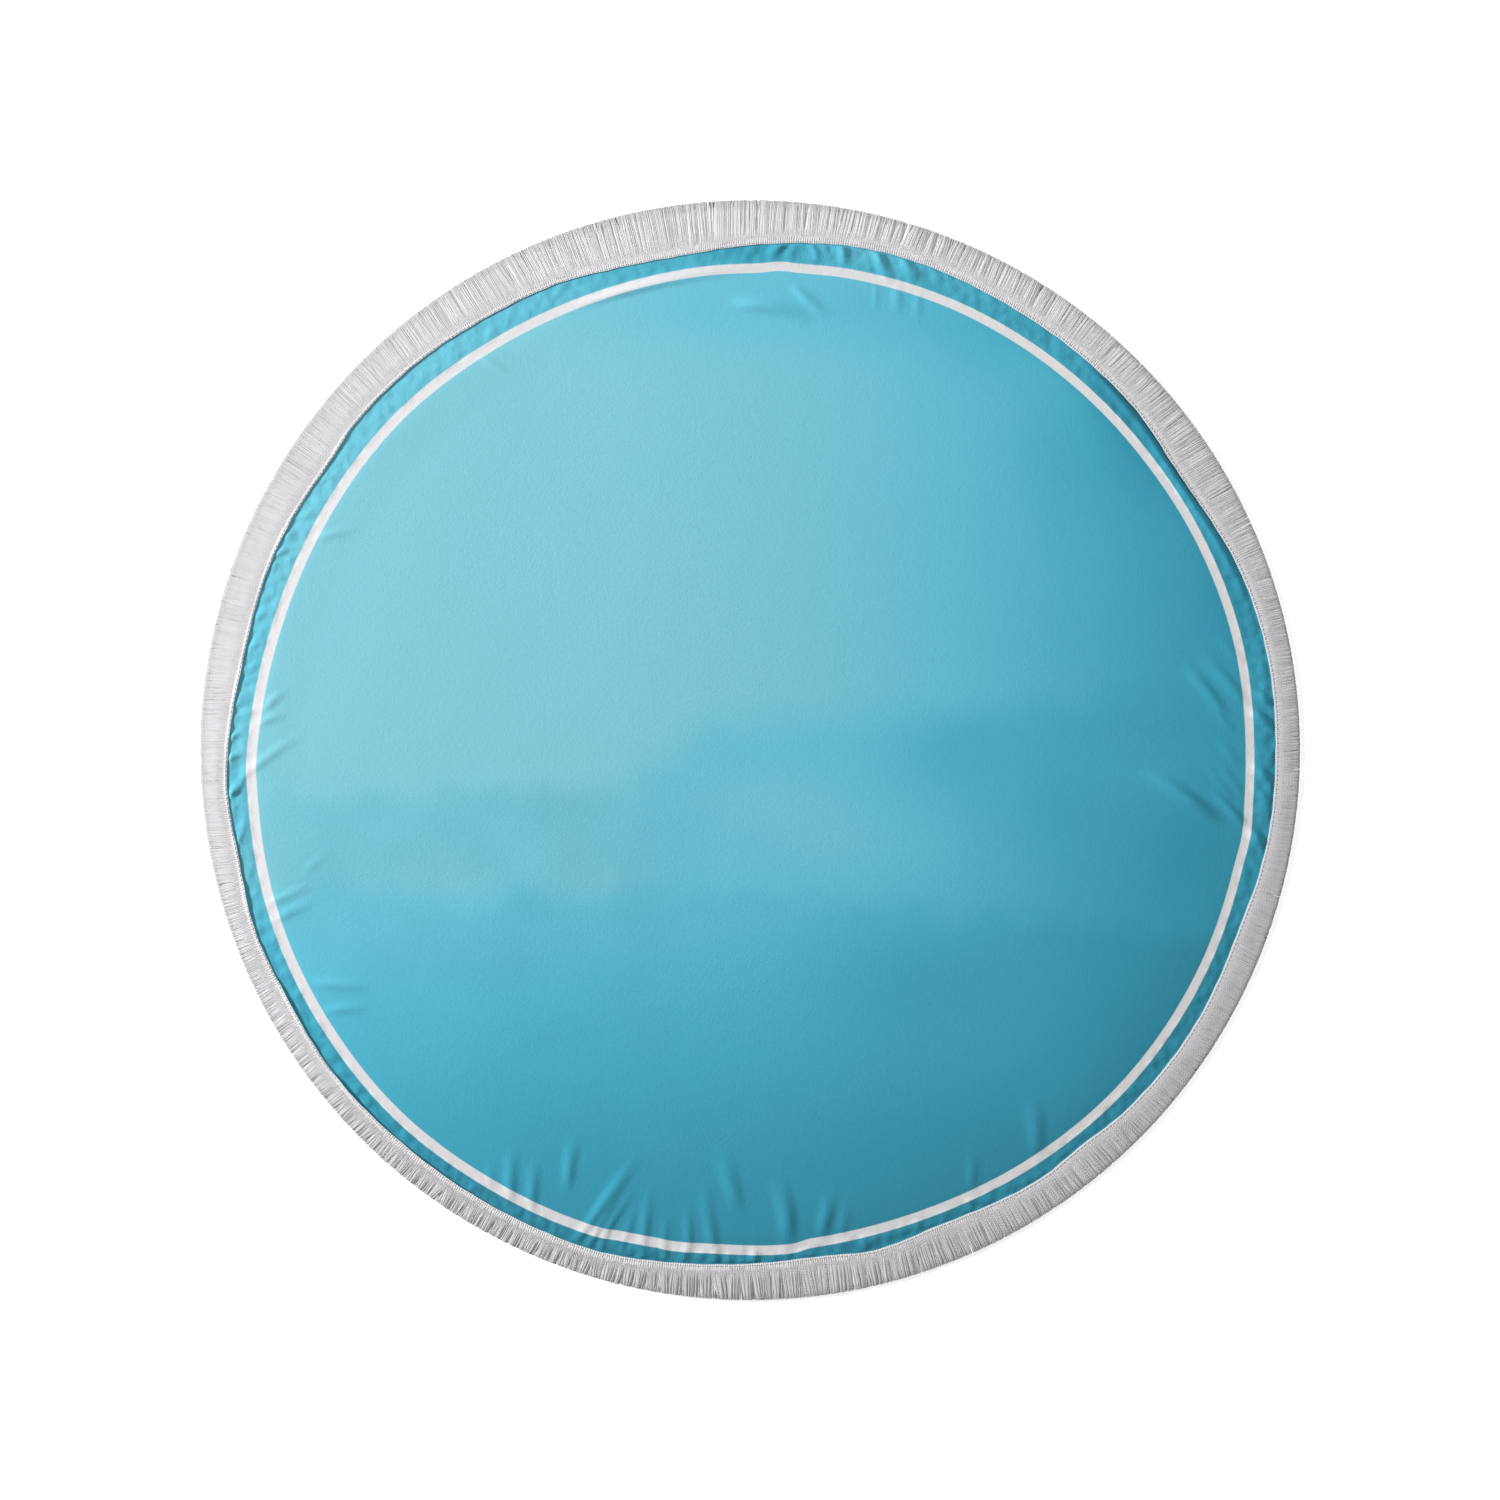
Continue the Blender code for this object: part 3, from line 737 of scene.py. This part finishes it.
# A flat closed section with rounded edges carried round the towel; its inner edge waves and lifts a
# little, and its columns alternate in height to form cross ribs.
def headingTape():
    width = towel["tapeWidth"]
    depth = towel["tapeThickness"]
    columns = tape["columns"]
    degrees = np.arange(columns) * 360 / columns
    turn = np.radians(degrees)
    # section: how far out, how high as a share of the thickness, over the top and back underneath
    section = np.array([
        (0.0000, 0.22), (0.0003, 0.42), (0.0012, 0.58), (0.0040, 0.80), (0.0080, 0.90), (0.0108, 0.86),
        (0.0117, 0.70), (0.0120, 0.45), (0.0117, 0.14), (0.0108, 0.00), (0.0040, 0.00), (0.0003, 0.04),
    ])
    waver = tape["edgeWaver"] * (0.6 * np.sin(83 * turn + 2 * np.sin(7 * turn)) + 0.4 * np.sin(151 * turn))
    out = section[:, :1]
    inner = 1 - out / width
    radius = tapeEdge(degrees) + out + waver * inner
    rib = tape["ribRise"] * (np.arange(columns) % 2) * (section[:, 1:] > 0.5)
    height = tapeBottom + depth * section[:, 1:] + rib + tapeLift(degrees, out)
    row, column = gridCorners(len(section), columns)
    faces = (row % len(section)) * columns + column % columns
    sizes = section * [1, depth]
    way = np.concatenate([[0], np.cumsum(np.hypot(*np.diff(sizes, axis=0, append=sizes[:1]).T))])
    roundWay = np.arange(columns + 1) / columns * math.tau * (towel["radius"] - tape["meanInset"])
    weaveMap = np.stack([roundWay[column], way[row]], axis=-1)
    return makePiece(
        "heading_tape", polar(radius, degrees, height).reshape(-1, 3), [faces], {"weave": weaveMap},
        wovenTape(), "fringe",
    )


# The stitches that hold the tape to the hem
stitch = {
    "count": 720,
    "length": 0.0042,
    "width": 0.0010,
    "fromEdge": 0.0024,  # outwards from the tape's inner edge
    "seat": 0.94,  # share of the tape's thickness at which they lie
    "sink": 0.0001,
    "sides": 5,
    "flatten": 0.7,
    "tone": 0.7,
}


# Rings of points round a centre line, one tube for each line. lines is tubes by rings by 3, radii is
# tubes by rings, and flatten squeezes the section's height.
def tubes(lines, radii, sides, flatten=1.0):
    run = np.gradient(lines, axis=1)
    run /= np.linalg.norm(run, axis=-1, keepdims=True)
    side = np.stack([-run[..., 1], run[..., 0], np.zeros(run.shape[:2])], axis=-1)
    side /= np.linalg.norm(side, axis=-1, keepdims=True)
    rise = np.cross(run, side)
    phase = -np.arange(sides) * math.tau / sides - math.pi / 2
    spread = radii[..., None, None]
    across = np.cos(phase)[:, None] * side[:, :, None]
    upwards = flatten * np.sin(phase)[:, None] * rise[:, :, None]
    points = lines[:, :, None] + spread * (across + upwards)
    count, rings = lines.shape[:2]
    row, column = gridCorners(rings - 1, sides)
    first = np.arange(count)[:, None, None] * rings * sides
    walls = (first + row * sides + column % sides).reshape(-1, 4)
    rootCap = (first + np.arange(sides)).reshape(-1, sides)
    tipCap = (first + (rings - 1) * sides + np.arange(sides)[::-1]).reshape(-1, sides)
    return points.reshape(-1, 3), walls, np.concatenate([rootCap, tipCap]), row, column


# Short flat tubes at even steps. rings and fullness are shares of a stitch's length and width.
def stitchRow():
    rings = np.array([-0.5, -0.3, 0.3, 0.5])
    fullness = np.array([0.35, 1, 1, 0.35])
    count = stitch["count"]
    middle = (np.arange(count) + 0.5) * 360 / count
    radius = tapeEdge(middle) + stitch["fromEdge"]
    degrees = middle[:, None] + np.degrees(stitch["length"] * rings / radius[:, None])
    radius = tapeEdge(degrees) + stitch["fromEdge"]
    lifted = tapeLift(degrees, stitch["fromEdge"])
    top = tapeBottom + stitch["seat"] * towel["tapeThickness"]
    lines = polar(radius, degrees, top + lifted + stitch["width"] / 4 - stitch["sink"])
    radii = np.broadcast_to(stitch["width"] / 2 * fullness, lines.shape[:2])
    points, walls, caps, row, column = tubes(lines, radii, stitch["sides"], stitch["flatten"])
    ways = np.broadcast_to(stitch["length"] * (rings - rings[0]), (count, len(rings)))
    tones = np.full(count, stitch["tone"])
    maps = threadMaps(ways, stitch["sides"], row, column, tones, np.zeros(count))
    return makePiece("hem_stitches", points, [walls, caps], maps, threadLook, "fringe")


# Two maps for threads: ply is share round and metres along, from a start of the thread's own; tone is
# the thread's draw and share along. ways gives each ring's metres from the thread's root.
def threadMaps(ways, sides, row, column, tones, starts):
    along = ways[:, row]
    around = np.broadcast_to(column / sides, along.shape)
    wallPly = np.stack([around, starts[:, None, None] + along], axis=-1)
    wallTone = np.stack([
        np.broadcast_to(tones[:, None, None], along.shape), along / ways[:, -1, None, None],
    ], axis=-1)
    ends = np.zeros((2, len(ways), sides, 2))
    capPly = ends.copy()
    capPly[..., 1] = starts[:, None]
    capPly[1, ..., 1] += ways[:, -1:]
    capTone = ends.copy()
    capTone[..., 0] = tones[:, None]
    capTone[1, ..., 1] = 1
    return {
        "ply": np.concatenate([wallPly.reshape(-1, 2), capPly.reshape(-1, 2)]),
        "tone": np.concatenate([wallTone.reshape(-1, 2), capTone.reshape(-1, 2)]),
    }


# The fringe's threads, sizes in metres
threads = {
    "bedCount": 1800,  # the lower layer, wide and close, level on the floor
    "bedWidth": 0.0034,
    "topCount": 4300,  # the upper layer
    "topWidth": 0.0019,
    "sides": 5,
    # places of the rings beyond the tape, as shares; the last but one lies close to the cut end, and
    # rootRing close to the root, so that the ends' own shading stays short
    "knots": (0, 0.16, 0.33, 0.50, 0.67, 0.84, 0.985, 1),
    "knotJitter": 0.035,
    "rootRing": 0.0004,
    "overTape": 0.0070,  # how far over the tape the upper layer starts
    "overTapeJitter": 0.0014,
    "drop": 0.014,  # run over which they come down off the hem
    "level": 0.0028,  # height of the upper layer's middle beside a parting
    "crown": 0.0013,  # how much higher it lies inside a lock
    "crownReach": 0.0050,
    "smallPartings": 150,
    "tufts": 880,  # locks are made up of tufts a few threads wide
    "tuftGap": 0.0009,
    "tuftCrown": 0.0006,
    "tuftReach": 0.0016,
    "tipSpread": 0.0007,
    "bedShorter": 0.0004,  # the lower layer ends this much further in
    "waver": 0.0003,
    "waverLength": 0.025,
    "tipSag": 0.35,  # share by which the upper layer is lower at its tips
    "tone": (0.60, 0.07),  # usual tone, and its spread from thread to thread
    # the lower layer is painted duller, as shade under the upper layer
    "bedShadeTone": (0.30, 0.04),
    "lockSpreads": (0.03, 0.0003, 0.035),  # of leans, levels and tones
    "tuftSpreads": (0.022, 0.00020, 0.028),
    "partingScale": 1.4,
}

# The main partings between locks, listed: degrees round, gap at the tips, which partingScale turns
# into millimetres
partings = (
    (11, 1), (25, 1.5), (28.5, 1.5), (31, 2.5), (33.8, 2.5), (35, 2), (38.5, 2), (42.5, 1.5), (45.2, 2),
    (49, 3.5), (55.8, 2.5), (57.5, 2), (62, 1.5), (64.5, 2), (68.3, 3), (69.8, 2.5), (71, 1.5),
    (73.4, 5), (74.6, 2.5), (75.6, 2.5), (77.2, 3.5), (78.8, 2), (80.6, 2.5), (82.6, 3), (84.6, 4),
    (85.9, 3), (88, 2), (90.4, 3), (91.8, 2), (94.5, 1.5), (96.8, 2.5), (98.6, 2), (102, 2), (104, 2),
    (106.5, 2.5), (108, 1.5), (112, 2), (115.2, 2.5), (118, 1.5), (125, 1.5), (128.6, 2), (131, 1.5),
    (133.2, 2), (136, 1.5), (138.8, 2), (141, 1.5), (143.4, 2), (147, 1.5), (154.8, 1.5), (164, 1.5),
    (166.8, 2), (172, 1), (194.4, 1.5), (199.2, 2), (200.8, 2), (205.8, 1.5), (209.6, 2.5), (215.3, 2),
    (219.4, 1.5), (221, 2), (223.3, 2), (225.6, 4), (226.8, 3.5), (229.6, 2.5), (231.2, 3.5),
    (232.4, 2.5), (233.6, 3), (235.2, 4.5), (236.6, 2), (238.2, 5), (241.4, 1.5), (245, 2), (247, 1.5),
    (250, 3), (252.8, 4), (254.2, 2), (256.4, 4), (257.5, 3), (258.8, 3.5), (260.2, 3), (261.4, 3.5),
    (262.6, 2), (264, 4), (265.9, 6), (267.4, 2), (269, 3), (270.2, 3.5), (271.6, 2.5), (273.4, 2.5),
    (275.6, 3), (277.5, 2.5), (281, 2), (282.6, 3), (284.2, 2.5), (285.4, 3.5), (290.3, 2.5), (293, 2),
    (296, 1.5), (301, 2), (302.3, 2.5), (303.6, 2), (305.4, 2), (307, 1.5), (309.4, 2.5), (311.6, 2.5),
    (313.4, 2), (315.5, 1.5), (320.6, 1.5), (326, 1), (333.5, 1), (343, 2), (344.5, 2), (350, 1),
    (355, 1),
)


# How unruly the threads are: degrees round, share of the full gaps, leans, levels and tones
unruliness = (
    (0, 0.6), (20, 0.5), (34, 0.8), (50, 0.6), (62, 0.8), (75, 0.9), (90, 0.55), (105, 0.5), (120, 0.4),
    (140, 0.35), (160, 0.4), (180, 0.4), (200, 0.6), (220, 0.9), (232, 1.1), (250, 1.1), (270, 1.1),
    (290, 1), (310, 0.9), (330, 0.6),
)


# Light and shade painted round the fringe, paler or duller where it is lit more or less: degrees
# round, change of a thread's tone
paintedLightRound = (
    (0, 0), (30, 0.15), (60, 0.25), (90, 0.20), (120, 0.12), (140, -0.10), (150, -0.20), (180, -0.15),
    (210, -0.05), (225, -0.25), (240, -0.40), (270, -0.25), (300, 0), (330, 0),
)


# Groups of threads that run together, from the places of the partings between them and their gaps at
# the tips. Each group has its own lean, level and tone.
Groups = namedtuple("Groups", "places gaps leans levels tones")


def drawGroups(places, gaps, lean, level, tone):
    order = np.argsort(places)
    count = len(places)
    normal = draw.standard_normal((3, count))
    return Groups(places[order], gaps[order], lean * normal[0], level * normal[1], tone * normal[2])


# For each thread: which group it is in, its share across it, and metres at the tips to the nearer side
def findGroup(groups, degrees):
    count = len(groups.places)
    here = np.searchsorted(groups.places, degrees, side="right") - 1
    start = groups.places[here] - 360 * (here < 0)
    after = groups.places[(here + 1) % count] + 360 * (here + 1 >= count)
    share = (degrees - start) / (after - start)
    width = np.radians(after - start) * towel["radius"]
    return here, share, np.minimum(share, 1 - share) * width


# A group draws together between the gaps on its two sides: shift is half of each gap, weighted by
# the share across the group.
def groupShift(groups, here, share):
    after = (here + 1) % len(groups.places)
    return (groups.gaps[here] * (1 - share) - groups.gaps[after] * share) / 2


# Centre lines of one layer of threads. Outwards they run evenly; sideways they follow their lock and
# their tuft, more towards the tips; upwards, over the tape's edge, then by a smooth step to a level
# that is highest in the middle of a lock and of a tuft, and lower again at the tips.
def threadLines(count, width, upper):
    degrees = np.mod((np.arange(count) + 0.7 * draw.random(count)) * 360 / count, 360)
    edge = tapeEdge(degrees) + towel["tapeWidth"]
    tip = towel["radius"] - threads["tipSpread"] * draw.random(count) ** 2
    tip = tip - threads["bedShorter"] * (not upper)
    length = tip - edge
    knots = np.array(threads["knots"])
    loose = threads["knotJitter"] * ((knots > 0) & (knots < 0.9))
    share = knots + loose * (2 * draw.random((count, len(knots))) - 1)
    before = threads["overTape"] * upper + threads["overTapeJitter"] * draw.random((count, 1))
    run = np.concatenate([-before, threads["rootRing"] - before, share * length[:, None]], axis=1)
    outShare = np.clip(run / length[:, None], 0, 1)

    unruly = closedCurve(unruliness, degrees)
    lockHere, lockShare, lockAway = findGroup(locks, degrees)
    tuftHere, tuftShare, tuftAway = findGroup(tufts, degrees)
    turn = np.radians(degrees)
    wander = 0.05 * (np.sin(7 * turn + 0.6) + 0.7 * np.sin(12 * turn + 2.1) + 0.5 * np.sin(19 * turn))
    lean = wander + upper * unruly * (locks.leans[lockHere] + tufts.leans[tuftHere])
    lean = lean + 0.008 * draw.standard_normal(count)
    follow = unruly * upper
    drawn = groupShift(locks, lockHere, lockShare)[:, None] * outShare**1.8
    drawn = drawn + groupShift(tufts, tuftHere, tuftShare)[:, None] * outShare**1.1
    wavePhase = math.tau * draw.random((count, 1))
    sideways = follow[:, None] * drawn + lean[:, None] * np.maximum(run, 0)
    waving = np.sin(run * math.tau / threads["waverLength"] + wavePhase)
    sideways = sideways + threads["waver"] * waving * outShare

    radius = edge[:, None] + run
    rootHalf = towel["tapeThickness"] / 2
    tapeMiddle = tapeBottom + towel["tapeThickness"] - rootHalf
    onTape = tapeMiddle - 0.0004 + upper * (0.0003 + 0.0003 * smoothStep(-threads["overTape"], 0, run))
    onTape = onTape + tapeLift(degrees[:, None], towel["tapeWidth"] + run)
    crown = threads["crown"] * (1 - np.exp(-lockAway / threads["crownReach"]))
    tuftCrown = threads["tuftCrown"] * (1 - np.exp(-tuftAway / threads["tuftReach"]))
    level = crown + tuftCrown + locks.levels[lockHere] + tufts.levels[tuftHere]
    level = threads["level"] + unruly * level + 0.0003 * draw.random(count)
    if not upper:
        level = np.full(count, width / 2)
    fall = smoothStep(0, threads["drop"], run)
    sag = 1 - threads["tipSag"] * upper * outShare**2
    height = onTape * (1 - fall) + level[:, None] * fall * sag
    height = np.maximum(height, width / 2)
    lines = polar(radius, degrees[:, None] + np.degrees(sideways / radius), height)
    half = rootHalf + (width / 2 - rootHalf) * smoothStep(-0.002, 0.006, run)
    half[:, 0] *= 0.8
    half[:, -1] *= 0.75
    usual, spread = threads["tone"]
    tones = usual + unruly * (locks.tones[lockHere] + tufts.tones[tuftHere])
    # painted light and shade round the fringe
    tones = tones + closedCurve(paintedLightRound, degrees) + spread * draw.standard_normal(count)
    # the lower layer's duller tone is painted shade
    if not upper:
        usual, spread = threads["bedShadeTone"]
        tones = usual + spread * draw.standard_normal(count)
    return lines, half, degrees, run - run[:, :1], np.clip(tones, 0, 1)


# Four pieces, a quarter of the way round each, hold the threads of both layers
def fringeThreads():
    bed = threadLines(threads["bedCount"], threads["bedWidth"], False)
    top = threadLines(threads["topCount"], threads["topWidth"], True)
    lines, half, degrees, ways, tones = (np.concatenate(pair) for pair in zip(bed, top))
    starts = 0.1 * draw.random(len(degrees))
    pieces = []
    for quarter in range(4):
        mine = np.floor(degrees / 90) == quarter
        points, walls, caps, row, column = tubes(lines[mine], half[mine], threads["sides"])
        maps = threadMaps(ways[mine], threads["sides"], row, column, tones[mine], starts[mine])
        name = f"fringe_threads_{quarter + 1}"
        pieces.append(makePiece(name, points, [walls, caps], maps, threadLook, "fringe"))
    return pieces


mainPlaces, mainGaps = np.array(partings, float).T
smallPlaces = 360 * draw.random(threads["smallPartings"])
smallGaps = (0.4 + draw.random(threads["smallPartings"])) * mm
locks = drawGroups(
    np.concatenate([mainPlaces, smallPlaces]),
    np.concatenate([threads["partingScale"] * mm * mainGaps, smallGaps]),
    *threads["lockSpreads"],
)
tuftPlaces = (np.arange(threads["tufts"]) + 0.7 * draw.random(threads["tufts"])) * 360 / threads["tufts"]
tuftGaps = threads["tuftGap"] * (0.3 + 1.4 * draw.random(threads["tufts"]))
tufts = drawGroups(tuftPlaces, tuftGaps, *threads["tuftSpreads"])

threadLook = looseThread()
clothPiece = towelCloth()
trimPieces = [headingTape(), stitchRow(), *fringeThreads()]
print("towel built")

# The studio: floor, light and camera, in metres and watts
studio = {
    "floorSize": 60.0,
    "floorGlow": 0.62,
    "floorPale": 0.85,
    # place, size across and power of each lamp; both are turned to the origin
    "key": ((-4.44, 1.06, 2.03), 0.8, 262),
    "fill": ((1.19, 3.65, 3.21), 1.6, 44),
    "skyStrength": 0.23,
    "lens": 150.0,
    "sensor": 36.0,
    "halfView": 1.02273,  # from the view's middle to its edge, on the floor
}


# A large flat floor that is pale by its colour and a little by its own glow
def paleFloor():
    half = studio["floorSize"] / 2
    mesh = bpy.data.meshes.new("floor")
    corners = [(-half, -half, 0), (half, -half, 0), (half, half, 0), (-half, half, 0)]
    mesh.from_pydata(corners, [], [(0, 1, 2, 3)])
    finish = Finish("pale_floor", roughness=1.0)
    pale = studio["floorPale"]
    finish.colour((pale, pale, pale, 1))
    finish.plug(finish.shader, {"Emission Color": (1, 1, 1, 1), "Emission Strength": studio["floorGlow"]})
    finish.plug(finish.shader, {"Specular IOR Level": 0.0})
    mesh.materials.append(finish.material)
    floor = addObject("floor", mesh)


# Two round lamps and an even white sky
def studioLight():
    for name in ("key", "fill"):
        place, size, power = studio[name]
        light = bpy.data.lights.new(name, "AREA")
        light.shape = "DISK"
        light.size = size
        light.energy = power
        lamp = addObject(name, light)
        lamp.location = place
        lamp.rotation_euler = (-Vector(place)).to_track_quat("-Z", "Y").to_euler()
    world = bpy.data.worlds.new("soft_sky")
    world.use_nodes = True
    sky = world.node_tree.nodes["Background"]
    sky.inputs["Color"].default_value = (1, 1, 1, 1)
    sky.inputs["Strength"].default_value = studio["skyStrength"]
    bpy.context.scene.world = world


# Straight above the centre; its height is half the view times the lens over half the sensor
def overheadCamera():
    data = bpy.data.cameras.new("camera")
    data.lens = studio["lens"]
    data.sensor_width = studio["sensor"]
    data.clip_end = 100
    camera = addObject("camera", data)
    camera.location = (0, 0, studio["halfView"] * studio["lens"] / (studio["sensor"] / 2))
    bpy.context.scene.camera = camera


paleFloor()
studioLight()
overheadCamera()
bpy.context.scene.view_settings.view_transform = "Standard"
print("studio ready")
